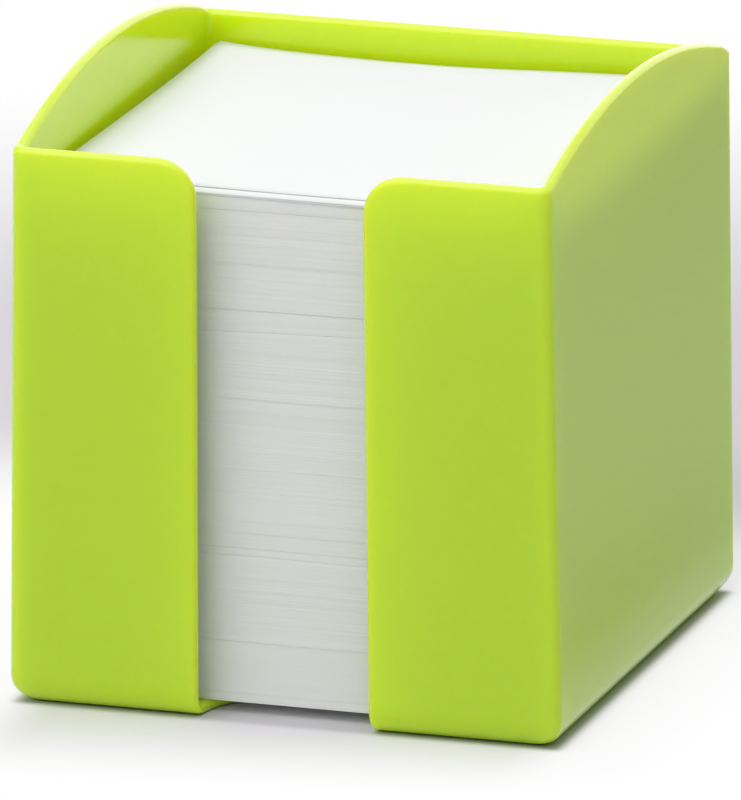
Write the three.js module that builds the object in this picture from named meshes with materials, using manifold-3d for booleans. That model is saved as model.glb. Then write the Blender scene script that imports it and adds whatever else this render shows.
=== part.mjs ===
// Note box: a one-piece moulded desk box, open at the top, with a finger slot down the
// middle of its front, and the stack of loose square notes that it holds.
// Millimetres, +Z up. The origin is the middle of the footprint, on the surface that the
// box stands on. The front faces -Y.

import * as THREE from 'three';
import { mergeVertices } from 'three/addons/utils/BufferGeometryUtils.js';
import Module from 'manifold-3d';

const wasm = await Module();
wasm.setup();

// The notes
const noteSide = 90;              // one square note
const noteThickness = 0.1;        // one sheet of 80 gram paper
const looseNoteAir = 0.1;         // air under each of the loose notes on top
const looseNoteCount = 6;
const stackHeight = 91.2;         // box floor to the face of the top note
const packAir = 0.05;             // air between two packs of notes

// Room around the stack
const sideClearance = 2.8;        // note edge to side wall at the floor, each side
const endClearance = 4.8;         // note edge to front panels and to back wall
const rimAboveStack = 6.3;        // top note to the rim of the front panels

// The moulded box
const wall = 2.2;
const floorThickness = 2;
const archRise = 8;               // curved top of each side wall, above the rim
const wallLean = 1.2;             // how far each side wall leans in at the rim
const uprightRadius = 2.2;        // upright outer corners
const footRadius = 5;             // outer edges along the foot
const innerUprightRadius = 1;
const rimRounding = 0.8;          // front and back top edges
const rimBevel = 0.6;             // small bevel along every other edge of the rim

// The finger slot
const slotWidth = 31;
const panelCornerRadius = 7;      // top corners of the front panels, beside the slot

// How far cutting shapes run past what they cut
const overrun = 3;

// Sizes that follow
const innerWidth = noteSide + 2 * sideClearance;
const innerDepth = noteSide + 2 * endClearance;
const boxWidth = innerWidth + 2 * wall;
const boxDepth = innerDepth + 2 * wall;
const rimHeight = floorThickness + stackHeight + rimAboveStack;
const cutTop = rimHeight + archRise + overrun;
const innerFootRadius = sideClearance / 2;
const rimClearance = sideClearance - wallLean;
const looseHeight = looseNoteCount * (noteThickness + looseNoteAir);
const packsHeight = stackHeight - looseHeight;

// Facets along each quarter round, the arch and the half-round thumb notch
const quarterSteps = 8;
const archSteps = 32;
const notchSteps = 28;

// Packs of notes from the bottom up: where each one's top lies, as a share of the packs'
// height. The packs part where the front of the stack shows a break.
const packTopShares = [0.06, 0.133, 0.207, 0.292, 0.338, 0.47, 0.604, 0.739, 0.781, 0.81,
  0.894, 0.979, 1];

// How each pack lies: the swing of its corners from turning, then its shift along X and Y,
// as shares of the clearance at the side walls' rim and at the ends.
const packLieShares = [
  [0.03, 0.02, -0.08], [-0.05, 0.06, -0.11], [0.04, -0.03, -0.06], [-0.06, 0.04, -0.12],
  [0.1, -0.05, -0.05], [-0.04, 0.03, -0.1], [0.05, -0.04, -0.07], [-0.08, 0.05, -0.12],
  [0.16, -0.08, -0.02], [-0.18, 0.1, -0.14], [-0.24, 0.03, -0.09], [-0.3, 0.02, -0.1],
  [-0.34, 0, -0.1],
];
const looseLieShares = [
  [-0.36, 0.02, -0.09], [-0.4, -0.03, -0.12], [-0.34, 0.04, -0.07], [-0.42, 0, -0.1],
  [-0.12, -0.04, 0.64], [-0.5, 0.04, 0.52],
];

const plastic = new THREE.MeshStandardMaterial({ color: 0xb4d62c, roughness: 0.22, metalness: 0 });
const paper = new THREE.MeshStandardMaterial({ color: 0xf2f2f0, roughness: 0.9, metalness: 0 });

/** Points along a round stretch, both ends included, angles in radians. */
function arc(centreX, centreY, radius, from, to, steps) {
  const points = [];
  for (let i = 0; i <= steps; i += 1) {
    const angle = from + (to - from) * (i / steps);
    points.push(new THREE.Vector2(centreX + radius * Math.cos(angle), centreY + radius * Math.sin(angle)));
  }
  return points;
}

/** A rectangle with four equal round corners, centred on the origin. */
function roundedRectangle(width, depth, radius) {
  const x = width / 2 - radius;
  const y = depth / 2 - radius;
  const quarter = Math.PI / 2;
  return [
    ...arc(x, y, radius, 0, quarter, quarterSteps),
    ...arc(-x, y, radius, quarter, 2 * quarter, quarterSteps),
    ...arc(-x, -y, radius, 2 * quarter, 3 * quarter, quarterSteps),
    ...arc(x, -y, radius, 3 * quarter, 4 * quarter, quarterSteps),
  ];
}

/** The two round lower corners of an upright outline, from its left side to its right side. */
function roundFoot(span, bottom, radius) {
  const x = span / 2 - radius;
  return [
    ...arc(-x, bottom + radius, radius, Math.PI, 1.5 * Math.PI, quarterSteps),
    ...arc(x, bottom + radius, radius, 1.5 * Math.PI, 2 * Math.PI, quarterSteps),
  ];
}

/** The arched top of a side wall, from its right end to its left end, moved down by drop. */
function archTop(drop) {
  const halfSpan = innerDepth / 2;
  const radius = (halfSpan ** 2 + archRise ** 2) / (2 * archRise);
  const centre = rimHeight + archRise - radius - drop;
  const halfAngle = Math.asin(halfSpan / radius);
  return arc(0, centre, radius, Math.PI / 2 - halfAngle, Math.PI / 2 + halfAngle, archSteps);
}

/** Extrudes an outline along its own Z, with an optional bevel that widens it by bevelOut. */
function extrude(points, depth, bevel = 0, bevelOut = 0) {
  return new THREE.ExtrudeGeometry(new THREE.Shape(points), {
    depth,
    steps: 1,
    bevelEnabled: bevel > 0,
    bevelThickness: bevel,
    bevelSize: bevel,
    bevelOffset: bevelOut - bevel,
    bevelSegments: 1,
  });
}

/** Turns an extrusion so that its outline stands in XZ and it runs along Y from front to back. */
function standAcross(geometry, front, depth) {
  const turn = new THREE.Matrix4().makeBasis(
    new THREE.Vector3(1, 0, 0), new THREE.Vector3(0, 0, 1), new THREE.Vector3(0, -1, 0),
  );
  return geometry.applyMatrix4(turn).translate(0, front + depth, 0);
}

/** Turns an extrusion so that its outline stands in YZ and it runs along X, centred. */
function standAlong(geometry, depth) {
  const turn = new THREE.Matrix4().makeBasis(
    new THREE.Vector3(0, 1, 0), new THREE.Vector3(0, 0, 1), new THREE.Vector3(1, 0, 0),
  );
  return geometry.applyMatrix4(turn).translate(-depth / 2, 0, 0);
}

/** A closed solid that can be cut and joined. */
function solid(geometry) {
  const bare = geometry.clone();
  bare.deleteAttribute('normal');
  bare.deleteAttribute('uv');
  const merged = mergeVertices(bare);
  return new wasm.Manifold(new wasm.Mesh({
    numProp: 3,
    vertProperties: new Float32Array(merged.attributes.position.array),
    triVerts: new Uint32Array(merged.index.array),
  }));
}

/** A geometry made from a cut or joined solid. */
function geometryOf(body) {
  const mesh = body.getMesh();
  const geometry = new THREE.BufferGeometry();
  geometry.setAttribute('position', new THREE.BufferAttribute(mesh.vertProperties, mesh.numProp));
  geometry.setIndex(new THREE.BufferAttribute(mesh.triVerts, 1));
  geometry.computeVertexNormals();
  return geometry;
}

/** The box's outside: plan, front and side outlines run through each other. */
function outerForm() {
  const height = rimHeight + archRise;
  const plan = extrude(roundedRectangle(boxWidth, boxDepth, uprightRadius), height);
  const front = [
    ...roundFoot(boxWidth, 0, footRadius),
    new THREE.Vector2(boxWidth / 2, height),
    new THREE.Vector2(-boxWidth / 2, height),
  ];
  const rimEdge = boxDepth / 2 - rimRounding;
  const rimCentre = rimHeight - rimRounding;
  const side = [
    ...roundFoot(boxDepth, 0, footRadius),
    ...arc(rimEdge, rimCentre, rimRounding, 0, Math.PI / 2, quarterSteps / 2),
    ...archTop(0),
    ...arc(-rimEdge, rimCentre, rimRounding, Math.PI / 2, Math.PI, quarterSteps / 2),
  ];
  const sideRun = boxWidth - 2 * rimBevel;
  const sideGeometry = standAlong(extrude(side, sideRun, rimBevel), sideRun);
  return solid(plan)
    .intersect(solid(standAcross(extrude(front, boxDepth), -boxDepth / 2, boxDepth)))
    .intersect(solid(sideGeometry));
}

/** The hollow that holds the notes, with a small round all round its floor. */
function hollow() {
  const run = cutTop - floorThickness;
  const plan = extrude(roundedRectangle(innerWidth, innerDepth, innerUprightRadius), run);
  const outline = (span) => [
    ...roundFoot(span, floorThickness, innerFootRadius),
    new THREE.Vector2(span / 2, cutTop),
    new THREE.Vector2(-span / 2, cutTop),
  ];
  const front = standAcross(extrude(outline(innerWidth), innerDepth), -innerDepth / 2, innerDepth);
  const side = standAlong(extrude(outline(innerDepth), innerWidth), innerWidth);
  return solid(plan.translate(0, 0, floorThickness)).intersect(solid(front)).intersect(solid(side));
}

/** The bevel along the inner edge of the rim: arches, front panels and back wall. */
function rimInnerBevel() {
  const halfDepth = innerDepth / 2;
  const outline = [
    new THREE.Vector2(-halfDepth - rimBevel, rimHeight),
    ...archTop(rimBevel).reverse(),
    new THREE.Vector2(halfDepth + rimBevel, rimHeight),
    new THREE.Vector2(halfDepth + rimBevel, cutTop),
    new THREE.Vector2(-halfDepth - rimBevel, cutTop),
  ];
  return solid(standAlong(extrude(outline, innerWidth, rimBevel), innerWidth));
}

/** The outline of the finger slot in XZ: straight sides that flare round the panel corners. */
function slotOutline(bottom) {
  const half = slotWidth / 2;
  const cornerX = half + panelCornerRadius;
  const cornerZ = rimHeight - panelCornerRadius;
  return [
    new THREE.Vector2(-half, bottom),
    new THREE.Vector2(half, bottom),
    ...arc(cornerX, cornerZ, panelCornerRadius, Math.PI, Math.PI / 2, quarterSteps),
    new THREE.Vector2(cornerX, cutTop),
    new THREE.Vector2(-cornerX, cutTop),
    ...arc(-cornerX, cornerZ, panelCornerRadius, Math.PI / 2, 0, quarterSteps),
  ];
}

/** What the finger slot and its thumb notch take out of the front wall and the floor. */
function fingerSlot() {
  const frontFace = -boxDepth / 2;
  const innerFace = -innerDepth / 2;
  const cutRun = overrun + wall;
  const cut = standAcross(extrude(slotOutline(-overrun), cutRun), frontFace - overrun, cutRun);
  const outerFlare = standAcross(
    extrude(slotOutline(-overrun), overrun, rimBevel, rimBevel), frontFace - overrun, overrun,
  );
  const innerFlare = standAcross(
    extrude(slotOutline(floorThickness + innerFootRadius), overrun, rimBevel, rimBevel), innerFace, overrun,
  );
  const half = slotWidth / 2;
  const notchOutline = [
    ...arc(0, 0, half, 0, Math.PI, notchSteps),
    new THREE.Vector2(-half, -cutRun),
    new THREE.Vector2(half, -cutRun),
  ];
  const notch = extrude(notchOutline, floorThickness + overrun + innerFootRadius)
    .translate(0, innerFace, -overrun);
  return solid(cut).add(solid(outerFlare)).add(solid(innerFlare)).add(solid(notch));
}

/** Narrows the box upwards, so that its side walls lean in by wallLean at the rim. */
function leanIn(geometry) {
  const position = geometry.attributes.position;
  const leanShare = wallLean / (boxWidth / 2);
  for (let i = 0; i < position.count; i += 1) {
    position.setX(i, position.getX(i) * (1 - leanShare * (position.getZ(i) / rimHeight)));
  }
  geometry.computeVertexNormals();
  return geometry;
}

/** The whole moulded box. */
function noteBox() {
  const body = outerForm().subtract(hollow()).subtract(rimInnerBevel()).subtract(fingerSlot());
  const mesh = new THREE.Mesh(leanIn(geometryOf(body)), plastic);
  mesh.name = 'note_box';
  return mesh;
}

/** The outline of a note. */
function noteOutline() {
  const half = noteSide / 2;
  return [
    new THREE.Vector2(-half, -half),
    new THREE.Vector2(half, -half),
    new THREE.Vector2(half, half),
    new THREE.Vector2(-half, half),
  ];
}

/** One slab of the stack, turned and shifted within the clearance round it. */
function slab(name, bottom, thickness, lieShares) {
  const [swingShare, shiftXShare, shiftYShare] = lieShares;
  const mesh = new THREE.Mesh(extrude(noteOutline(), thickness), paper);
  mesh.name = name;
  mesh.rotation.z = Math.atan2(swingShare * rimClearance, noteSide / 2);
  mesh.position.set(shiftXShare * rimClearance, shiftYShare * endClearance, bottom);
  return mesh;
}

/** The packs, from the box's floor up to where the loose notes begin. */
function notePacks() {
  return packTopShares.map((topShare, index) => {
    const bottomShare = index === 0 ? 0 : packTopShares[index - 1];
    const bottom = bottomShare * packsHeight + packAir;
    const thickness = topShare * packsHeight - bottom;
    const name = `note_pack_${String(index + 1).padStart(2, '0')}`;
    return slab(name, bottom, thickness, packLieShares[index]);
  });
}

/** The single notes that lie loose on top of the packs. */
function looseNotes() {
  return Array.from({ length: looseNoteCount }, (_, index) => {
    const bottom = packsHeight + looseNoteAir + index * (noteThickness + looseNoteAir);
    const lieShares = looseLieShares[index % looseLieShares.length];
    return slab(`loose_note_${index + 1}`, bottom, noteThickness, lieShares);
  });
}

const stack = new THREE.Group();
stack.position.z = floorThickness;
stack.add(...notePacks(), ...looseNotes());

const box = new THREE.Group();
box.add(noteBox(), stack);

export default box;
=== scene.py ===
"""Looks of a desk note box: a glossy one-piece moulding with arched side walls, and its loose notes.

Every size is in metres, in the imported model's own frame: +Z up, the finger slot towards -Y.
"""

import logging
import math
from dataclasses import dataclass, field
from enum import Enum
from typing import Callable

import bmesh
import bpy
import numpy as np
from mathutils import Euler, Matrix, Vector


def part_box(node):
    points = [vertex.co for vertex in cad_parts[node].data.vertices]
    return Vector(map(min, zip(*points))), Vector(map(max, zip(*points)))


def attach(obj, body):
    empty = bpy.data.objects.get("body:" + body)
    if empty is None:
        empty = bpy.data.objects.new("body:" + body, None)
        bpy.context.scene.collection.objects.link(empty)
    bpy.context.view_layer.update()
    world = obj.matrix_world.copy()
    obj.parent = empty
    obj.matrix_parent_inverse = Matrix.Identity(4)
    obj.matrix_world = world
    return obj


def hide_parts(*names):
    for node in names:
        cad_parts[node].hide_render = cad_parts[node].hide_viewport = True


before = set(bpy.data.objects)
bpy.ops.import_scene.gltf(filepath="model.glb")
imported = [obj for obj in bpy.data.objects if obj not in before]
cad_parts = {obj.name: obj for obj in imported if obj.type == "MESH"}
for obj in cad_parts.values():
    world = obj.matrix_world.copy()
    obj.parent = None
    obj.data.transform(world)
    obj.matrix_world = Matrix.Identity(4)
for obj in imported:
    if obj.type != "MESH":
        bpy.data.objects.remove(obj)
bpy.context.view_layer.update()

LOG = logging.getLogger("note_box")
MILLIMETRE = 0.001
EVEN = (1.0, 1.0, 1.0)
WHITE = (1.0, 1.0, 1.0, 1.0)

Pair = tuple[float, float]
Triple = tuple[float, float, float]
Colour = tuple[float, float, float, float]
Socket = bpy.types.NodeSocket
VertRow = list[bmesh.types.BMVert]


class Slot(Enum):
    """The record's material slots."""

    PLASTIC = "lime_plastic"
    PAPER = "note_paper"


# Shader wiring


class Wiring:
    """Adds nodes to one node tree, and links them."""

    MIXED_COLOURS: tuple[int, int] = (6, 7)
    MIXED_RESULT: int = 2

    def __init__(self, tree: bpy.types.NodeTree) -> None:
        """Takes a material's, world's or group's node tree to fill, and empties it."""
        self.tree = tree
        tree.nodes.clear()

    def add(self, kind: str, *values: object, **settings: object) -> bpy.types.Node:
        """Adds a node.

        Args:
            kind: The node's type name, without its ShaderNode start.
            values: Values or output sockets for its first inputs, in order.
            settings: Properties of the node, by name.

        Returns:
            The new node.
        """
        prefix = "" if kind.startswith("NodeGroup") else "ShaderNode"
        node = self.tree.nodes.new(prefix + kind)
        for name, value in settings.items():
            setattr(node, name, value)
        for socket, value in zip(node.inputs, values):
            self.plug(socket, value)
        return node

    def feed(self, node: bpy.types.Node, **inputs: object) -> bpy.types.Node:
        """Sets or links a node's inputs, with underscores for the spaces in their names.

        Args:
            node: The node whose inputs are set.
            inputs: Values, or output sockets to link from.

        Returns:
            The same node.
        """
        for name, value in inputs.items():
            self.plug(node.inputs[name.replace("_", " ")], value)
        return node

    def plug(self, socket: Socket, value: object) -> None:
        """Links an output socket to this input, or sets its plain value.

        Args:
            socket: The input.
            value: An output socket or a value.
        """
        if isinstance(value, Socket):
            self.tree.links.new(value, socket)
        else:
            socket.default_value = value

    def math(self, operation: str, *values: object) -> Socket:
        """Adds a Math node with numbers or output sockets in order, and gives its result."""
        return self.add("Math", *values, operation=operation).outputs[0]

    def blend(self, factor: object, low: object, high: object) -> Socket:
        """Mixes two colours. Their sockets go by number, because others have the same names.

        Args:
            factor: 0 for the first colour, 1 for the second.
            low: The first colour.
            high: The second colour.

        Returns:
            The mixed colour's socket.
        """
        node = self.add("Mix", factor, data_type="RGBA")
        for index, colour in zip(self.MIXED_COLOURS, (low, high)):
            self.plug(node.inputs[index], colour)
        return node.outputs[self.MIXED_RESULT]

    def span(self, value: object, given: Pair, wanted: Pair = (0.0, 1.0)) -> Socket:
        """Maps a value from a given range to a wanted one, and stops at the ends."""
        return self.add("MapRange", value, *given, *wanted).outputs[0]

    def facing_up(self) -> Socket:
        """How far the surface faces up: 1 up, 0 sideways, -1 down."""
        return self.add("SeparateXYZ", self.add("NewGeometry").outputs["Normal"]).outputs["Z"]


class EffectLibrary:
    """Shader node groups for the finishes, each built once and placed in a material with its own values."""

    FINE_DETAIL: float = 3.0
    FINE_ROUGHNESS: float = 0.6
    BROAD_DETAIL: float = 2.0
    BROAD_SHARE: float = 0.13
    SPECK_PITCH_SHARE: float = 0.12
    SPECK_REACH: float = 0.09
    UPWARD: Pair = (0.2, 0.9)
    SHARP_EDGE: Pair = (0.52, 0.62)
    PATCH_DETAIL: float = 4.0
    PATCH_SPAN: Pair = (0.42, 0.62)

    def __init__(self) -> None:
        """Starts with no group built."""
        self.built: dict[str, bpy.types.NodeTree] = {}

    def place(
        self, wiring: Wiring, maker: Callable[[], bpy.types.NodeTree], **inputs: object
    ) -> bpy.types.Node:
        """Places a group in a material, laid out by the piece's own coordinates.

        Args:
            wiring: The material's wiring.
            maker: The method of this class that builds the group.
            inputs: Values for the group's other inputs.

        Returns:
            The group's node.
        """
        name = maker.__name__
        if name not in self.built:
            self.built[name] = maker()
        node = wiring.add("Group", node_tree=self.built[name])
        return wiring.feed(node, Vector=wiring.add("TexCoord").outputs["Object"], **inputs)

    @staticmethod
    def start(name: str, last: str, *results: str) -> tuple[Wiring, bpy.types.Node, bpy.types.Node]:
        """Makes an empty group with its sockets: Vector, Size and a third one in, numbers out.

        Args:
            name: The group's name.
            last: The third input, Stretch or Amount.
            results: The outputs.

        Returns:
            The group's wiring, its input node and its output node.
        """
        tree = bpy.data.node_groups.new(name, "ShaderNodeTree")
        wiring = Wiring(tree)
        for way, labels in (("INPUT", ("Vector", "Size", last)), ("OUTPUT", results)):
            for label in labels:
                kind = "NodeSocketVector" if label in ("Vector", "Stretch") else "NodeSocketFloat"
                tree.interface.new_socket(label, in_out=way, socket_type=kind)
        return wiring, wiring.add("NodeGroupInput"), wiring.add("NodeGroupOutput")

    def grain(self) -> bpy.types.NodeTree:
        """A fine cloudy grain, centred on one half.

        Returns:
            The group: Vector, Size, Stretch to Height and Tone.
        """
        wiring, given, result = self.start("grain", "Stretch", "Height", "Tone")
        place, stretch = given.outputs["Vector"], given.outputs["Stretch"]
        scaled = wiring.add("VectorMath", place, stretch, operation="MULTIPLY")
        per_metre = wiring.math("DIVIDE", 1.0, given.outputs["Size"])
        fine = wiring.feed(
            wiring.add("TexNoise"),
            Vector=scaled.outputs[0],
            Scale=per_metre,
            Detail=self.FINE_DETAIL,
            Roughness=self.FINE_ROUGHNESS,
        )
        broad = wiring.add("TexNoise")
        broad_scale = wiring.math("MULTIPLY", per_metre, self.BROAD_SHARE)
        wiring.feed(broad, Vector=scaled.outputs[0], Scale=broad_scale, Detail=self.BROAD_DETAIL)
        halves = [wiring.math("MULTIPLY", noise.outputs[0], 0.5) for noise in (fine, broad)]
        wiring.feed(result, Height=fine.outputs[0], Tone=wiring.math("ADD", *halves))
        return wiring.tree

    def dust(self) -> bpy.types.NodeTree:
        """Sparse specks of dust and paper lint on what faces up.

        Returns:
            The group: Vector, Size, Amount to Mask.
        """
        wiring, given, result = self.start("dust", "Amount", "Mask")
        cells = wiring.add("TexVoronoi")
        per_metre = wiring.math("DIVIDE", 1.0, given.outputs["Size"])
        pitch = wiring.math("MULTIPLY", per_metre, self.SPECK_PITCH_SHARE)
        wiring.feed(cells, Vector=given.outputs["Vector"], Scale=pitch)
        speck = wiring.span(cells.outputs["Distance"], (0.0, self.SPECK_REACH), (1.0, 0.0))
        upward = wiring.span(wiring.facing_up(), self.UPWARD)
        kept = wiring.math("MULTIPLY", wiring.math("MULTIPLY", speck, upward), given.outputs["Amount"])
        wiring.feed(result, Mask=kept)
        return wiring.tree

    def rubbed_and_highlit_edges(self) -> bpy.types.NodeTree:
        """Where an edge is worn by hands and paper and lightened by a painted highlight: the sharpest
        outward curves, broken up.

        Returns:
            The group: Vector, Size, Amount to Mask.
        """
        wiring, given, result = self.start("rubbed_and_highlit_edges", "Amount", "Mask")
        sharp = wiring.span(wiring.add("NewGeometry").outputs["Pointiness"], self.SHARP_EDGE)
        patches = wiring.add("TexNoise")
        per_metre = wiring.math("DIVIDE", 1.0, given.outputs["Size"])
        wiring.feed(patches, Vector=given.outputs["Vector"], Scale=per_metre, Detail=self.PATCH_DETAIL)
        broken = wiring.span(patches.outputs[0], self.PATCH_SPAN)
        kept = wiring.math("MULTIPLY", wiring.math("MULTIPLY", sharp, broken), given.outputs["Amount"])
        wiring.feed(result, Mask=kept)
        return wiring.tree


# Finishes


@dataclass(frozen=True)
class MouldedPlastic:
    """Glossy lime plastic, a little translucent, as it leaves a polished mould."""

    colour: Colour = (0.57, 0.85, 0.016, 1.0)
    deep_colour: Colour = (0.53, 0.82, 0.014, 1.0)
    # Painted highlight: the paler colour given to the sharpest outward edges.
    painted_edge_highlight_colour: Colour = (0.66, 0.88, 0.09, 1.0)
    dust_colour: Colour = (0.85, 0.88, 0.80, 1.0)
    roughness: float = 0.11
    roughness_spread: float = 0.05
    gloss_level: float = 0.5
    bleed: float = 1.0
    bleed_depth: float = 0.012
    bleed_shares: Triple = (0.75, 0.5, 0.1)
    flow_size: float = 0.016
    flow_stretch: Triple = (1.0, 1.0, 0.35)
    ripple_size: float = 0.0030
    ripple_height: float = 0.0000045
    ripple_span: Pair = (0.3, 0.7)
    wear_and_highlight_size: float = 0.004
    wear_and_highlight_amount: float = 0.16
    rub_roughness: float = 0.6
    dust_size: float = 0.00035
    dust_amount: float = 0.25
    dust_roughness: float = 0.8

    def make(self, library: EffectLibrary) -> bpy.types.Material:
        """Builds the material.

        Args:
            library: The shared shader groups.

        Returns:
            The finished material.
        """
        material = bpy.data.materials.new("lime_moulded_plastic")
        material.use_nodes = True
        wiring = Wiring(material.node_tree)
        flow = library.place(wiring, library.grain, Size=self.flow_size, Stretch=self.flow_stretch)
        ripple = library.place(wiring, library.grain, Size=self.ripple_size, Stretch=EVEN)
        wear_and_highlight = library.place(wiring, library.rubbed_and_highlit_edges, Size=self.wear_and_highlight_size, Amount=self.wear_and_highlight_amount)
        dust = library.place(wiring, library.dust, Size=self.dust_size, Amount=self.dust_amount)
        colour = wiring.blend(flow.outputs["Tone"], self.deep_colour, self.colour)
        # Painted highlight: the sharpest outward edges are lightened towards a paler yellow-green. Their
        # extra roughness below is real wear.
        colour = wiring.blend(wear_and_highlight.outputs["Mask"], colour, self.painted_edge_highlight_colour)
        colour = wiring.blend(dust.outputs["Mask"], colour, self.dust_colour)
        rough_range = (self.roughness, self.roughness + self.roughness_spread)
        rough = wiring.span(ripple.outputs["Tone"], self.ripple_span, rough_range)
        for worn, extra in ((wear_and_highlight, self.rub_roughness), (dust, self.dust_roughness)):
            rough = wiring.math("ADD", rough, wiring.math("MULTIPLY", worn.outputs["Mask"], extra))
        bump = wiring.add("Bump")
        wiring.feed(bump, Height=ripple.outputs["Height"], Distance=self.ripple_height, Strength=1.0)
        shader = wiring.add("BsdfPrincipled", subsurface_method="RANDOM_WALK")
        wiring.feed(
            shader,
            Base_Color=colour,
            Roughness=rough,
            Normal=bump.outputs[0],
            Specular_IOR_Level=self.gloss_level,
            Subsurface_Weight=self.bleed,
            Subsurface_Radius=self.bleed_shares,
            Subsurface_Scale=self.bleed_depth,
        )
        wiring.plug(wiring.add("OutputMaterial").inputs["Surface"], shader.outputs[0])
        return material


@dataclass(frozen=True)
class NotePaper:
    """Plain white uncoated paper, with fine lines across the cut edges of the stack."""

    colour: Colour = (0.83, 0.833, 0.845, 1.0)
    shade_colour: Colour = (0.81, 0.813, 0.825, 1.0)
    edge_colour: Colour = (0.815, 0.815, 0.82, 1.0)
    line_colour: Colour = (0.795, 0.795, 0.80, 1.0)
    roughness: float = 0.88
    roughness_spread: float = 0.06
    gloss_level: float = 0.2
    fibre_size: float = 0.0006
    fibre_height: float = 0.000012
    fibre_strength: float = 0.6
    fibre_span: Pair = (0.3, 0.7)
    line_size: float = 0.0022
    line_span: Pair = (0.35, 0.65)
    line_stretch: Triple = (0.06, 0.06, 22.0)
    flat_span: Pair = (0.5, 0.8)

    def make(self, library: EffectLibrary) -> bpy.types.Material:
        """Builds the material.

        Args:
            library: The shared shader groups.

        Returns:
            The finished material.
        """
        material = bpy.data.materials.new("white_note_paper")
        material.use_nodes = True
        wiring = Wiring(material.node_tree)
        fibres = library.place(wiring, library.grain, Size=self.fibre_size, Stretch=EVEN)
        lines = library.place(wiring, library.grain, Size=self.line_size, Stretch=self.line_stretch)
        face = wiring.blend(fibres.outputs["Tone"], self.shade_colour, self.colour)
        line_tone = wiring.span(lines.outputs["Tone"], self.line_span)
        edge = wiring.blend(line_tone, self.line_colour, self.edge_colour)
        flat = wiring.span(wiring.math("ABSOLUTE", wiring.facing_up()), self.flat_span)
        bump = wiring.add("Bump")
        height = fibres.outputs["Height"]
        wiring.feed(bump, Height=height, Distance=self.fibre_height, Strength=self.fibre_strength)
        rough_range = (self.roughness, self.roughness + self.roughness_spread)
        shader = wiring.add("BsdfPrincipled")
        wiring.feed(
            shader,
            Base_Color=wiring.blend(flat, edge, face),
            Roughness=wiring.span(fibres.outputs["Tone"], self.fibre_span, rough_range),
            Normal=bump.outputs[0],
            Specular_IOR_Level=self.gloss_level,
        )
        wiring.plug(wiring.add("OutputMaterial").inputs["Surface"], shader.outputs[0])
        return material


# Mesh helpers


def new_piece(name: str, build: bmesh.types.BMesh, material: bpy.types.Material) -> bpy.types.Object:
    """Turns a bmesh into a piece of the scene.

    Args:
        name: The piece's name.
        build: The bmesh, which is freed.
        material: Its finish.

    Returns:
        The new object, at the frame's origin.
    """
    mesh = bpy.data.meshes.new(name)
    build.to_mesh(mesh)
    build.free()
    mesh.materials.append(material)
    piece = bpy.data.objects.new(name, mesh)
    bpy.context.scene.collection.objects.link(piece)
    return piece


def join_rows(build: bmesh.types.BMesh, rows: list[VertRow], closed: bool = False) -> None:
    """Fills the strips between rows of vertices with quads.

    Args:
        build: The bmesh that holds the vertices.
        rows: Rows of equal length.
        closed: True joins each row's last vertex to its first.
    """
    for upper, lower in zip(rows, rows[1:]):
        count = len(upper)
        for index in range(count if closed else count - 1):
            following = (index + 1) % count
            build.faces.new((upper[index], lower[index], lower[following], upper[following]))


def add_rows(build: bmesh.types.BMesh, points: np.ndarray) -> list[VertRow]:
    """Adds vertices row by row, from coordinates as rows by columns by 3."""
    return [[build.verts.new(point) for point in row] for row in points]


def eased(count: int) -> np.ndarray:
    """Shares from 0 to 1 without the 0, close together at both ends."""
    return 0.5 - 0.5 * np.cos(np.pi * np.arange(1, count + 1) / count)


# The box


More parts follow.
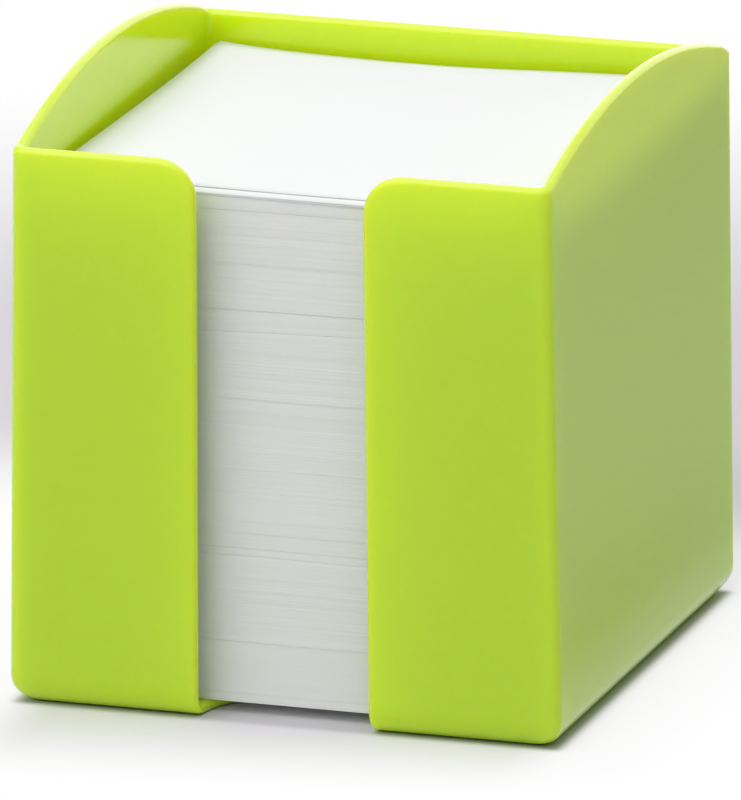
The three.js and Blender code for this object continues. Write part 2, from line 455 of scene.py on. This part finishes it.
@dataclass
class MouldedBox:
    """The one-piece box: a thick skin with one rounded lip that runs along its whole edge.

    The skin is laid out in columns, from the finger slot's right edge round the box to its left
    edge, and in rows from the rim down to the foot.
    """

    library: EffectLibrary
    finish: MouldedPlastic = field(default_factory=MouldedPlastic)
    wall: float = 2.2 * MILLIMETRE
    floor: float = 2.0 * MILLIMETRE
    arch_rise: float = 8.0 * MILLIMETRE
    arch_easing: float = 0.3 * MILLIMETRE
    upright_radius: float = 2.2 * MILLIMETRE
    inner_upright_radius: float = 1.0 * MILLIMETRE
    foot_radius: float = 5.0 * MILLIMETRE
    inner_foot_radius: float = 1.4 * MILLIMETRE
    slot_half_width: float = 15.5 * MILLIMETRE
    panel_corner_radius: float = 7.0 * MILLIMETRE
    back_drop: float = 0.7 * MILLIMETRE
    lean_front: float = 1.6 * MILLIMETRE
    lean_back: float = 0.8 * MILLIMETRE
    lip: float = 1.0 * MILLIMETRE
    near_rows: tuple[float, ...] = (0.0, 0.25 * MILLIMETRE, 0.9 * MILLIMETRE, 2.5 * MILLIMETRE)
    floor_margin: float = 0.9 * MILLIMETRE
    middle_rows: int = 10
    arc_steps: int = 8
    panel_columns: int = 10
    side_columns: int = 36
    back_columns: int = 14
    lip_steps: int = 12
    notch_steps: int = 36

    def __post_init__(self) -> None:
        """Reads the box's outer sizes from the frame."""
        low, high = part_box("note_box")
        self.half_width = (high.x - low.x) / 2
        self.half_depth = (high.y - low.y) / 2
        self.rim_height = high.z - self.arch_rise
        self.inner_face = -self.half_depth + self.wall

    def slot_edge(self, y: float) -> float:
        """How far the skin's edge lies from the middle at a depth: the slot, then the thumb notch."""
        reach = self.slot_half_width + self.lip
        return math.sqrt(reach**2 - max(y - self.inner_face, 0.0) ** 2)

    def plan(self, inset: float, radius: float) -> np.ndarray:
        """Plan points of every column.

        Args:
            inset: How far inside the box's outer faces the outline runs.
            radius: The outline's corner radius.

        Returns:
            Points as columns by 2.
        """
        half_x, half_y = self.half_width - inset, self.half_depth - inset
        edge = self.slot_edge(-half_y)
        reach = self.panel_corner_radius - self.lip
        turn = np.linspace(0, np.pi / 2, self.arc_steps + 1)
        beside_slot = edge + reach * (1 - np.cos(turn))
        panel = beside_slot[-1] + (half_x - radius - beside_slot[-1]) * eased(self.panel_columns)
        side = (half_y - radius) * (2 * eased(self.side_columns) - 1)
        back_turn = np.pi / 2 * np.arange(1, self.back_columns + 1) / self.back_columns
        back = (half_x - radius) * np.cos(back_turn)
        corner = np.stack([np.sin(turn[1:]), 1 - np.cos(turn[1:])], axis=1) * radius
        front_xs = np.concatenate([beside_slot, panel])
        half = np.concatenate([
            np.stack([front_xs, np.full_like(front_xs, -half_y)], axis=1),
            np.array([half_x - radius, -half_y]) + corner,
            np.stack([np.full_like(side, half_x), side], axis=1),
            np.array([half_x, half_y - radius]) + corner[:, ::-1] * (-1, 1),
            np.stack([back, np.full_like(back, half_y)], axis=1),
        ])
        mirrored = half[-2::-1] * (-1, 1)
        return np.concatenate([half, mirrored])

    def skin_top(self, plan: np.ndarray) -> np.ndarray:
        """Height of the skin's upper edge, one lip below the finished rim.

        Args:
            plan: Plan points of the columns.

        Returns:
            One height for each column.
        """
        span = -self.inner_face
        radius = (span**2 + self.arch_rise**2) / (2 * self.arch_rise)
        y = plan[:, 1]
        arch = np.sqrt(radius**2 - y**2) - radius + self.arch_rise
        eased_arch = np.sqrt(arch**2 + self.arch_easing**2)
        slope = -y / np.sqrt(radius**2 - y**2) * 0.5 * (1 + arch / eased_arch)
        height = self.rim_height + 0.5 * (arch + eased_arch) - self.lip * np.sqrt(1 + slope**2)
        height -= self.back_drop * np.clip((y - span) / (self.half_depth - span) + 1, 0, 1)
        corner_x = self.slot_half_width + self.panel_corner_radius
        reach = self.panel_corner_radius - self.lip
        beside = (np.abs(plan[:, 0]) < corner_x) & (y < 0)
        inward = np.clip(corner_x - np.abs(plan[:, 0]), 0, reach)
        corner = self.rim_height - self.panel_corner_radius + np.sqrt(reach**2 - inward**2)
        return np.where(beside, np.minimum(corner, height), height)

    def skin(self, inset: float, radius: float, bottom: float, foot: float) -> np.ndarray:
        """One face of the wall, from the rim down and round the foot onto the floor.

        Args:
            inset: How far inside the outer faces this face lies.
            radius: Its upright corner radius.
            bottom: Height of the floor on this face.
            foot: Radius of the turn from the wall to the floor.

        Returns:
            Points as rows by columns by 3.
        """
        plan = self.plan(inset, radius)
        top = self.skin_top(plan)
        foot_top = bottom + foot
        near = np.array(self.near_rows)
        shares = np.linspace(0, 1, self.middle_rows + 2)[1:-1]
        upper = [top - drop for drop in near]
        middle = [upper[-1] + (foot_top + near[-1] - upper[-1]) * share for share in shares]
        lower = [np.full_like(top, foot_top + rise) for rise in near[::-1]]
        rows = [np.column_stack([plan, heights]) for heights in upper + middle + lower]
        for turn in np.linspace(0, np.pi / 2, self.arc_steps + 1)[1:]:
            turned = self.plan(inset + foot * (1 - math.cos(turn)), radius)
            height = bottom + foot * (1 - math.sin(turn))
            rows.append(np.column_stack([turned, np.full(len(turned), height)]))
        return np.stack(rows)

    def notch_edge(self, start: np.ndarray, height: float) -> np.ndarray:
        """The skin's edge round the thumb notch, from the left panel's foot to the right panel's.

        Args:
            start: Where the skin's last row begins, at the right panel's foot.
            height: Height of the floor's face.

        Returns:
            Points between the two feet.
        """
        reach = self.slot_half_width + self.lip
        rise = math.asin((start[1] - self.inner_face) / reach)
        turns = np.linspace(np.pi - rise, rise, self.notch_steps + 1)[1:-1]
        return np.column_stack([
            reach * np.cos(turns), self.inner_face + reach * np.sin(turns), np.full(len(turns), height),
        ])

    def edge_loop(self, rows: list[VertRow], notch: VertRow) -> VertRow:
        """The skin's whole edge: up the right panel, along the rim, down the left panel, round the notch.

        Args:
            rows: The skin's vertices.
            notch: The vertices round the thumb notch.

        Returns:
            The vertices in order.
        """
        up_right = [row[0] for row in rows[:0:-1]]
        down_left = [row[-1] for row in rows[1:]]
        return up_right + rows[0] + down_left + notch

    def lip_rows(self, outer: np.ndarray, inner: np.ndarray) -> np.ndarray:
        """The rounded lip between the skin's two faces.

        Args:
            outer: The outer face's edge, in order.
            inner: The inner face's edge, in the same order.

        Returns:
            Rows of points between the two edges.
        """
        middle = (outer + inner) / 2
        along = np.roll(middle, -1, axis=0) - np.roll(middle, 1, axis=0)
        across = inner - outer
        outward = np.cross(along, across)
        outward /= np.linalg.norm(outward, axis=1, keepdims=True)
        turns = np.pi * np.arange(1, self.lip_steps) / self.lip_steps
        return np.stack([
            middle - across / 2 * math.cos(turn) + outward * self.lip * math.sin(turn) for turn in turns
        ])

    def lean_in(self, build: bmesh.types.BMesh) -> None:
        """Narrows the box upwards, most at its front.

        Args:
            build: The bmesh of the upright box.
        """
        for vertex in build.verts:
            share = (vertex.co.y / self.half_depth + 1) / 2
            lean = self.lean_front + (self.lean_back - self.lean_front) * share
            vertex.co.x *= 1 - lean / self.half_width * vertex.co.z / self.rim_height

    def build(self) -> bpy.types.Object:
        """Makes the box, dresses it and puts it in place of its solid.

        Returns:
            The finished piece.
        """
        build = bmesh.new()
        loops = []
        for inset, radius, bottom, foot in (
            (0.0, self.upright_radius, 0.0, self.foot_radius),
            (self.wall, self.inner_upright_radius, self.floor, self.inner_foot_radius),
        ):
            points = self.skin(inset, radius, bottom, foot)
            rows = add_rows(build, points)
            notch = add_rows(build, self.notch_edge(points[-1][0], bottom)[None])[0]
            join_rows(build, rows)
            floor = build.faces.new(rows[-1] + notch)
            bmesh.ops.inset_individual(build, faces=[floor], thickness=self.floor_margin)
            loops.append(self.edge_loop(rows, notch))
        edges = [np.array([vert.co for vert in loop]) for loop in loops]
        lip = add_rows(build, self.lip_rows(*edges))
        join_rows(build, [loops[0], *lip, loops[1]], closed=True)
        self.lean_in(build)
        bmesh.ops.recalc_face_normals(build, faces=build.faces)
        for face in build.faces:
            face.smooth = True
        piece = new_piece("moulded_box", build, self.finish.make(self.library))
        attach(piece, "box")
        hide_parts("note_box")
        return piece


# The notes


@dataclass
class SheetLie:
    """Where one sheet or pack lies in plan, read from its solid."""

    middle: np.ndarray
    turn: float
    side: float
    bottom: float
    top: float

    @classmethod
    def of(cls, node: str) -> "SheetLie":
        """Reads a solid's place.

        Args:
            node: The node's name.

        Returns:
            Its place and size.
        """
        corners = np.array([vertex.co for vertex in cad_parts[node].data.vertices])
        plan = corners[:, :2]
        far = plan[np.argmax(plan.sum(axis=1))]
        near = plan[np.argmax(plan[:, 0] - plan[:, 1])]
        edge = far - near
        middle = (plan.max(axis=0) + plan.min(axis=0)) / 2
        turn = math.atan2(edge[1], edge[0]) - math.pi / 2
        return cls(middle, turn, float(np.linalg.norm(edge)), corners[:, 2].min(), corners[:, 2].max())

    def place(self, local: np.ndarray, turn: float = 0.0, shift: Pair = (0.0, 0.0)) -> np.ndarray:
        """Puts points of a sheet, given from its middle, in the frame's plan.

        Args:
            local: Points as count by 2, from -0.5 to 0.5 of the side.
            turn: A turn on top of the solid's, in radians.
            shift: A shift on top of the solid's.

        Returns:
            The points in the frame.
        """
        angle = self.turn + turn
        cosine, sine = math.cos(angle), math.sin(angle)
        rotation = np.array([[cosine, sine], [-sine, cosine]])
        return local * self.side @ rotation + self.middle + np.array(shift)


@dataclass
class PaperStack:
    """The loose notes: packs in which every sheet is its own step, and single notes on top."""

    library: EffectLibrary
    finish: NotePaper = field(default_factory=NotePaper)
    pack_count: int = 13
    loose_count: int = 6
    sheet: float = 0.1 * MILLIMETRE
    edge_steps: int = 12
    loose_steps: int = 28
    air: float = 0.005 * MILLIMETRE
    drift: float = 0.010 * MILLIMETRE
    drift_hold_share: float = 0.985
    jitter: float = 0.006 * MILLIMETRE
    stray_chance_share: float = 0.012
    stray: float = 0.07 * MILLIMETRE
    turn_drift: float = 0.00010
    packs_under_a_break: tuple[int, ...] = (4, 8, 9)
    recess: float = 0.06 * MILLIMETRE
    recessed_sheets: int = 5
    evened_share: float = 0.85
    tilt_height: float = 69.0 * MILLIMETRE
    tilt_reach: float = 4.0 * MILLIMETRE
    tilt_rise: float = 0.62 * MILLIMETRE
    tilt_span: float = 15.0 * MILLIMETRE
    wave_rise: float = 0.10 * MILLIMETRE
    wave_length: float = 41.0 * MILLIMETRE
    wave_slant_shares: Triple = (0.55, 0.5, 1.35)
    settle_height: float = 8.0 * MILLIMETRE
    curl_growth: float = 1.6
    left_corner_lift: float = 0.9 * MILLIMETRE
    left_curl_start: float = 0.62
    left_curl_power: int = 2
    right_corner_lift: float = 1.5 * MILLIMETRE
    right_curl_start: float = -0.55
    right_curl_power: int = 3
    first_press: float = 0.03 * MILLIMETRE
    front_press: float = 0.088 * MILLIMETRE
    back_press: float = 0.045 * MILLIMETRE
    droop: float = 0.9 * MILLIMETRE
    droop_start: float = 42.0 * MILLIMETRE
    droop_run: float = 6.4 * MILLIMETRE
    droop_width: float = 45.0 * MILLIMETRE
    droop_foot: float = 50.0 * MILLIMETRE
    droop_fade: float = 40.0 * MILLIMETRE
    seed: int = 20

    def __post_init__(self) -> None:
        """Makes the paper, and reads the stack's mean lie, its foot height and the air between packs."""
        self.paper = self.finish.make(self.library)
        lies = [SheetLie.of(f"note_pack_{number:02d}") for number in range(1, self.pack_count + 1)]
        self.front = float(np.mean([lie.middle[1] for lie in lies]))
        self.square = float(np.mean([lie.turn for lie in lies]))
        lowest = lies[0]
        self.foot = lowest.bottom
        self.gap = SheetLie.of("note_pack_02").bottom - lowest.top

    def lift(self, x: np.ndarray, y: np.ndarray, z: np.ndarray) -> np.ndarray:
        """How far the sheets at a place lie above where they would if each lay flat.

        Args:
            x: Places along X.
            y: Places along Y.
            z: Heights.

        Returns:
            The lift, which fades to nothing on the box's floor and droops at the back of the upper sheets.
        """
        settled = np.clip((z - self.foot) / self.settle_height, 0, 1)
        tilt = np.exp(-(((z - self.tilt_height) / self.tilt_reach) ** 2)) * np.tanh(x / self.tilt_span)
        phase = 2 * np.pi / self.wave_length
        x_slant, y_share, y_slant = self.wave_slant_shares
        wave = np.sin(phase * (x + x_slant * z)) * np.sin(phase * (y_share * y + y_slant * z))
        beyond = np.clip((y - self.droop_start) / self.droop_run, 0, 1)
        upper = np.clip((z - self.droop_foot) / self.droop_fade, 0, 1)
        hang = beyond**2 * upper * np.clip(1 - (x / self.droop_width) ** 2, 0, 1)
        return settled * (self.tilt_rise * tilt + self.wave_rise * wave) - self.droop * hang

    def grid(self, steps: int) -> np.ndarray:
        """A square grid of points from -0.5 to 0.5, as rows by columns by 2."""
        line = np.linspace(-0.5, 0.5, steps + 1)
        return np.stack(np.meshgrid(line, line), axis=-1)

    def rim_order(self, steps: int) -> list[tuple[int, int]]:
        """The grid's outer points in order round the sheet.

        Args:
            steps: Squares along each side.

        Returns:
            Row and column of each point.
        """
        line = range(steps)
        return (
            [(0, i) for i in line]
            + [(i, steps) for i in line]
            + [(steps, steps - i) for i in line]
            + [(steps - i, 0) for i in line]
        )

    def cap(self, build: bmesh.types.BMesh, rim: VertRow, points: np.ndarray) -> None:
        """Closes a pack or note with a gently curved sheet face.

        Args:
            build: The bmesh.
            rim: The vertices already there along the outline, in rim order.
            points: The whole face's points, as rows by columns by 3.
        """
        steps = len(points) - 1
        order = {place: index for index, place in enumerate(self.rim_order(steps))}
        verts = [
            [rim[order[(row, column)]] if (row, column) in order else build.verts.new(points[row][column])
             for column in range(steps + 1)]
            for row in range(steps + 1)
        ]
        for near, far in zip(verts, verts[1:]):
            for column in range(steps):
                face = build.faces.new((near[column], near[column + 1], far[column + 1], far[column]))
                face.smooth = True

    def raised(self, plan: np.ndarray, height: float, extra: np.ndarray | float = 0.0) -> np.ndarray:
        """Gives plan points their height, with the stack's own lift.

        Args:
            plan: Points, with 2 as the last axis.
            height: Their height if the sheet lay flat.
            extra: A further lift for each point.

        Returns:
            The points, with 3 as the last axis.
        """
        x, y = plan[..., 0], plan[..., 1]
        z = height + self.lift(x, y, np.full_like(x, height)) + extra
        return np.concatenate([plan, z[..., None]], axis=-1)

    def pack(self, number: int) -> bpy.types.Object:
        """Makes one pack, sheet by sheet.

        Args:
            number: The pack's number, from 1 at the bottom.

        Returns:
            The finished piece.
        """
        node = f"note_pack_{number:02d}"
        lie = SheetLie.of(node)
        chance = np.random.default_rng(self.seed + number)
        count = max(2, round((lie.top - lie.bottom) / self.sheet))
        parted = number in self.packs_under_a_break
        top = lie.top if parted else lie.top + self.gap - self.air
        thickness = (top - lie.bottom) / count
        grid = self.grid(self.edge_steps)
        rim_local = np.array([grid[place] for place in self.rim_order(self.edge_steps)])
        evened = np.array([0.0, self.evened_share * (self.front - lie.middle[1])])
        evened_turn = self.evened_share * (self.square - lie.turn)
        wander, turn = np.zeros(2), 0.0
        build = bmesh.new()
        rings = []
        for index in range(count):
            wander = wander * self.drift_hold_share + chance.normal(0, self.drift, 2)
            turn = turn * self.drift_hold_share + chance.normal(0, self.turn_drift)
            shift = evened + wander + chance.normal(0, self.jitter, 2)
            if chance.random() < self.stray_chance_share:
                shift = shift + chance.normal(0, self.stray, 2)
            if parted:
                below_break = (count - 1 - index) / self.recessed_sheets
                shift = shift + np.array([0.0, self.recess * max(0.0, 1 - below_break)])
            place = dict(turn=evened_turn + turn, shift=tuple(shift))
            bottom = lie.bottom + index * thickness
            plan = lie.place(rim_local, **place)
            for height in (bottom, bottom + thickness):
                rings.append(add_rows(build, self.raised(plan, height)[None])[0])
            if index == 0:
                self.cap(build, rings[0], self.raised(lie.place(grid, **place), bottom))
            if index == count - 1:
                self.cap(build, rings[-1], self.raised(lie.place(grid, **place), top))
        join_rows(build, rings, closed=True)
        bmesh.ops.recalc_face_normals(build, faces=build.faces)
        piece = new_piece(f"sheet_pack_{number:02d}", build, self.paper)
        self.settle(piece, node)
        return piece

    def curl(self, grid: np.ndarray, number: int) -> np.ndarray:
        """How far a single note's corners rise, less how far it settles on the notes below.

        Args:
            grid: The note's points, from -0.5 to 0.5 of its side.
            number: The note's number, from 1 at the bottom.

        Returns:
            A lift for each point.
        """
        across, away = 2 * grid[..., 0], 2 * grid[..., 1]
        left = ((away - across) / 2 - self.left_curl_start) / (1 - self.left_curl_start)
        right = ((away + across) / 2 - self.right_curl_start) / (1 - self.right_curl_start)
        left = np.clip(left, 0, 1) ** self.left_curl_power
        right = np.clip(right, 0, 1) ** self.right_curl_power
        share = (number / self.loose_count) ** self.curl_growth
        press = self.front_press + (self.back_press - self.front_press) * (away + 1) / 2
        rise = share * (self.left_corner_lift * left + self.right_corner_lift * right)
        return rise - self.first_press - (number - 1) * press

    def loose_note(self, number: int) -> bpy.types.Object:
        """Makes one of the single notes on top, with its corners a little raised.

        Args:
            number: The note's number, from 1 at the bottom.

        Returns:
            The finished piece.
        """
        node = f"loose_note_{number}"
        lie = SheetLie.of(node)
        grid = self.grid(self.loose_steps)
        extra = self.curl(grid, number)
        plan = lie.place(grid)
        build = bmesh.new()
        order = self.rim_order(self.loose_steps)
        rings = []
        for height in (lie.bottom, lie.top):
            points = self.raised(plan, height, extra)
            ring = add_rows(build, np.array([points[place] for place in order])[None])[0]
            self.cap(build, ring, points)
            rings.append(ring)
        join_rows(build, rings, closed=True)
        bmesh.ops.recalc_face_normals(build, faces=build.faces)
        piece = new_piece(f"top_sheet_{number}", build, self.paper)
        self.settle(piece, node)
        return piece

    @staticmethod
    def settle(piece: bpy.types.Object, node: str) -> None:
        """Puts a piece of paper in place of its solid, on the body of the same name.

        Args:
            piece: The piece.
            node: The node, whose body has its name.
        """
        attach(piece, node)
        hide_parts(node)

    def build(self) -> list[bpy.types.Object]:
        """Makes all the notes, from the bottom up.

        Returns:
            The finished pieces.
        """
        packs = [self.pack(number) for number in range(1, self.pack_count + 1)]
        loose = [self.loose_note(number) for number in range(1, self.loose_count + 1)]
        return packs + loose


# The studio


@dataclass(frozen=True)
class Lamp:
    """A soft rectangular studio lamp that points at a spot over the floor."""

    name: str
    place: Triple
    aim: Triple
    size: Pair
    power: float

    def hang(self) -> None:
        """Hangs the lamp."""
        data = bpy.data.lights.new(self.name, "AREA")
        data.shape = "RECTANGLE"
        data.size, data.size_y = self.size
        data.energy = self.power
        lamp = bpy.data.objects.new(self.name, data)
        lamp.location = self.place
        lamp.rotation_mode = "QUATERNION"
        away = Vector(self.place) - Vector(self.aim)
        lamp.rotation_quaternion = away.to_track_quat("Z", "Y")
        bpy.context.scene.collection.objects.link(lamp)


@dataclass(frozen=True)
class Viewpoint:
    """The photograph's camera, as a long lens a few steps away."""

    azimuth: float = 18.27
    elevation: float = 15.80
    roll: float = -0.35
    distance: float = 3.0
    aim: Triple = (-0.00074, 0.0, 0.04459)
    lens: float = 776.25
    sensor: float = 36.0
    clip: Pair = (0.05, 100.0)

    def set_up(self) -> None:
        """Makes the camera and gives it to the scene."""
        data = bpy.data.cameras.new("camera")
        data.lens = self.lens
        data.sensor_width = self.sensor
        data.clip_start, data.clip_end = self.clip
        camera = bpy.data.objects.new("camera", data)
        turn, rise = math.radians(self.azimuth), math.radians(self.elevation)
        back = Vector((math.sin(turn) * math.cos(rise), -math.cos(turn) * math.cos(rise), math.sin(rise)))
        camera.location = Vector(self.aim) + back * self.distance
        camera.rotation_mode = "QUATERNION"
        facing = back.to_track_quat("Z", "Y")
        camera.rotation_quaternion = facing @ Euler((0, 0, math.radians(self.roll))).to_quaternion()
        bpy.context.scene.collection.objects.link(camera)
        bpy.context.scene.camera = camera


@dataclass
class Studio:
    """A white floor under three soft lamps: in front, overhead and behind."""

    floor_half: float = 30.0
    floor_drop: float = 0.03 * MILLIMETRE
    floor_colour: Colour = (0.85, 0.85, 0.85, 1.0)
    # Painted shade: the floor that is looked at is darker and more lilac than the floor that light falls
    # on, and it turns a darker grey under the box's edge.
    seen_colour_with_painted_shade: Colour = (0.73, 0.70, 0.76, 1.0)
    painted_contact_shadow_colour: Colour = (0.58, 0.56, 0.60, 1.0)
    footprint: Triple = (0.0482, 0.0492, 1.0)
    painted_shadow_reach: float = 0.0030
    fade_start: float = 0.20
    fade_end: float = 0.40
    # Painted light: near the box, these set where the white fill lifts its shadow, in front and beside it.
    front_reach: float = 0.048
    front_start: float = -0.12
    front_end: float = -0.04
    side_start: float = 0.040
    side_end: float = 0.054
    side_fill: Pair = (0.92, 0.78)
    skew: float = 0.16
    matt_right: Pair = (0.052, 0.070)
    matt_back: Pair = (-0.07, 0.0)
    sky_strength: float = 0.18
    lamps: tuple[Lamp, ...] = (
        Lamp("front", (-0.25, -0.50, 0.74), (0.0, 0.0, 0.05), (1.0, 1.0), 5.4),
        Lamp("overhead", (0.03, 0.0, 0.6), (0.0, 0.0, 0.05), (0.9, 0.9), 2.5),
        Lamp("rear", (0.0, 1.25, 0.45), (0.0, 0.0, 0.05), (2.0, 1.1), 5.5),
    )

    @staticmethod
    def seen(wiring: Wiring) -> Socket:
        """1 for what the camera sees, straight or through gloss, and 0 for light on surfaces.

        Args:
            wiring: The world's or floor's wiring.

        Returns:
            The factor's socket.
        """
        path = wiring.add("LightPath")
        through = wiring.math("ADD", path.outputs["Is Glossy Ray"], path.outputs["Is Transmission Ray"])
        whole = wiring.math("ADD", path.outputs["Is Camera Ray"], through)
        return wiring.math("MINIMUM", whole, 1.0)

    def surround(self) -> None:
        """Makes the world: white to look at, softer as light."""
        world = bpy.data.worlds.new("surround")
        bpy.context.scene.world = world
        world.use_nodes = True
        wiring = Wiring(world.node_tree)
        strength = wiring.span(self.seen(wiring), (0.0, 1.0), (self.sky_strength, 1.0))
        sky = wiring.add("Background")
        wiring.feed(sky, Color=WHITE, Strength=strength)
        wiring.plug(wiring.add("OutputWorld").inputs["Surface"], sky.outputs[0])

    @staticmethod
    def ramp(wiring: Wiring, value: Socket, start: float, end: float) -> Socket:
        """Rises softly from 0 where the value is at the start to 1 where it is at the end."""
        return wiring.add("MapRange", value, start, end, interpolation_type="SMOOTHSTEP").outputs[0]

    def beyond(self, wiring: Wiring, place: Socket) -> Socket:
        """How far a place on the floor lies outside the box's footprint.

        Args:
            wiring: The material's wiring.
            place: The place's socket.

        Returns:
            The distance's socket, 0 under the box.
        """
        folded = wiring.add("VectorMath", place, operation="ABSOLUTE")
        outside = wiring.add("VectorMath", folded.outputs[0], self.footprint, operation="SUBTRACT")
        kept = wiring.add("VectorMath", outside.outputs[0], (0.0, 0.0, 0.0), operation="MAXIMUM")
        return wiring.add("VectorMath", kept.outputs[0], operation="LENGTH").outputs["Value"]

    def whiteness(self, wiring: Wiring, place: Socket, clear: Socket) -> Socket:
        """How far the floor that is looked at turns plain white: far off, in front and beside the box. Near
        the box this white is painted light: it lifts the box's own shadow in front of it, more towards the
        right, and beside it, but not at its foot.

        Args:
            wiring: The floor's wiring.
            place: The place's socket.
            clear: 0 under the box, 1 clear of it.

        Returns:
            The share's socket.
        """
        parts = wiring.add("SeparateXYZ", place)
        across, along = parts.outputs["X"], parts.outputs["Y"]
        forward = wiring.math("MULTIPLY", along, -1.0)
        ahead = wiring.math("MULTIPLY", clear, self.ramp(wiring, forward, self.front_start, self.front_end))
        skewed = wiring.math("MULTIPLY_ADD", across, self.skew, self.skew * self.footprint[0])
        reach = wiring.math("ADD", self.beyond(wiring, place), wiring.math("MAXIMUM", skewed, 0.0))
        front = wiring.math("MULTIPLY", self.ramp(wiring, reach, 0.0, self.front_reach), ahead)
        aside = self.ramp(wiring, wiring.math("ABSOLUTE", across), self.side_start, self.side_end)
        side_fill = wiring.span(across, (-self.side_end, self.side_end), self.side_fill)
        beside = wiring.math("MULTIPLY", wiring.math("MULTIPLY", aside, side_fill), ahead)
        shared = wiring.math("MULTIPLY", front, beside)
        near = wiring.math("SUBTRACT", wiring.math("ADD", front, beside), shared)
        distance = wiring.add("VectorMath", place, operation="LENGTH").outputs["Value"]
        far = self.ramp(wiring, distance, self.fade_start, self.fade_end)
        kept = wiring.math("SUBTRACT", 1.0, self.matt_in_gloss(wiring, across, along))
        return wiring.math("MULTIPLY", wiring.math("MAXIMUM", far, near), kept)

    def matt_in_gloss(self, wiring: Wiring, across: Socket, along: Socket) -> Socket:
        """1 where the right side of the box mirrors a floor that stays matt, else 0.

        Args:
            wiring: The floor's wiring.
            across: The place along X.
            along: The place along Y.

        Returns:
            The share's socket.
        """
        rightward = self.ramp(wiring, across, *self.matt_right)
        behind = self.ramp(wiring, along, *self.matt_back)
        mirrored = wiring.add("LightPath").outputs["Is Glossy Ray"]
        return wiring.math("MULTIPLY", wiring.math("MULTIPLY", rightward, behind), mirrored)

    def floor_material(self) -> bpy.types.Material:
        """A matt floor that takes the shadow round the box, with painted shade near it: a darker grey
        contact shadow under the box's edge, and a darker, faintly lilac colour where the floor is looked
        at. It fades to plain white and is clear from below.

        Returns:
            The material.
        """
        material = bpy.data.materials.new("white_floor")
        material.use_nodes = True
        wiring = Wiring(material.node_tree)
        white = wiring.feed(wiring.add("Emission"), Color=WHITE, Strength=1.0)
        geometry = wiring.add("NewGeometry")
        place = geometry.outputs["Position"]
        clear = self.ramp(wiring, self.beyond(wiring, place), 0.0, self.painted_shadow_reach)
        fill = self.whiteness(wiring, place, clear)
        looked_at = self.seen(wiring)
        # Painted shade: a grey contact shadow under the box's edge, and a seen colour darker and more lilac
        # than the light's. It deepens the shade near the box and cancels the green light the box bounces
        # onto the floor.
        painted_shade_colour = wiring.blend(clear, self.painted_contact_shadow_colour, self.seen_colour_with_painted_shade)
        colour = wiring.blend(looked_at, self.floor_colour, painted_shade_colour)
        matt = wiring.feed(wiring.add("BsdfDiffuse"), Color=colour)
        share = wiring.math("MULTIPLY", fill, looked_at)
        faded = wiring.add("MixShader", share, matt.outputs[0], white.outputs[0])
        hidden = wiring.add("BsdfTransparent").outputs[0]
        sides = wiring.add("MixShader", geometry.outputs["Backfacing"], faded.outputs[0], hidden)
        wiring.plug(wiring.add("OutputMaterial").inputs["Surface"], sides.outputs[0])
        return material

    def lay_floor(self) -> None:
        """Lays the floor just under the box."""
        build = bmesh.new()
        half = self.floor_half
        corners = ((-half, -half), (half, -half), (half, half), (-half, half))
        build.faces.new([build.verts.new((x, y, -self.floor_drop)) for x, y in corners])
        floor = new_piece("floor", build, self.floor_material())

    def build(self) -> None:
        """Sets up the camera, the light and the floor."""
        settings = bpy.context.scene.view_settings
        settings.view_transform = "Standard"
        Viewpoint().set_up()
        self.surround()
        self.lay_floor()
        for lamp in self.lamps:
            lamp.hang()
            LOG.info("lamp %s: %.1f W", lamp.name, lamp.power)


def main() -> None:
    """Builds the studio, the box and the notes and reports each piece."""
    logging.basicConfig(level=logging.INFO, format="%(name)s: %(message)s")
    library = EffectLibrary()
    Studio().build()
    for piece in [MouldedBox(library).build(), *PaperStack(library).build()]:
        LOG.info("%s: %d faces", piece.name, len(piece.data.polygons))


if __name__ == "__main__":
    main()
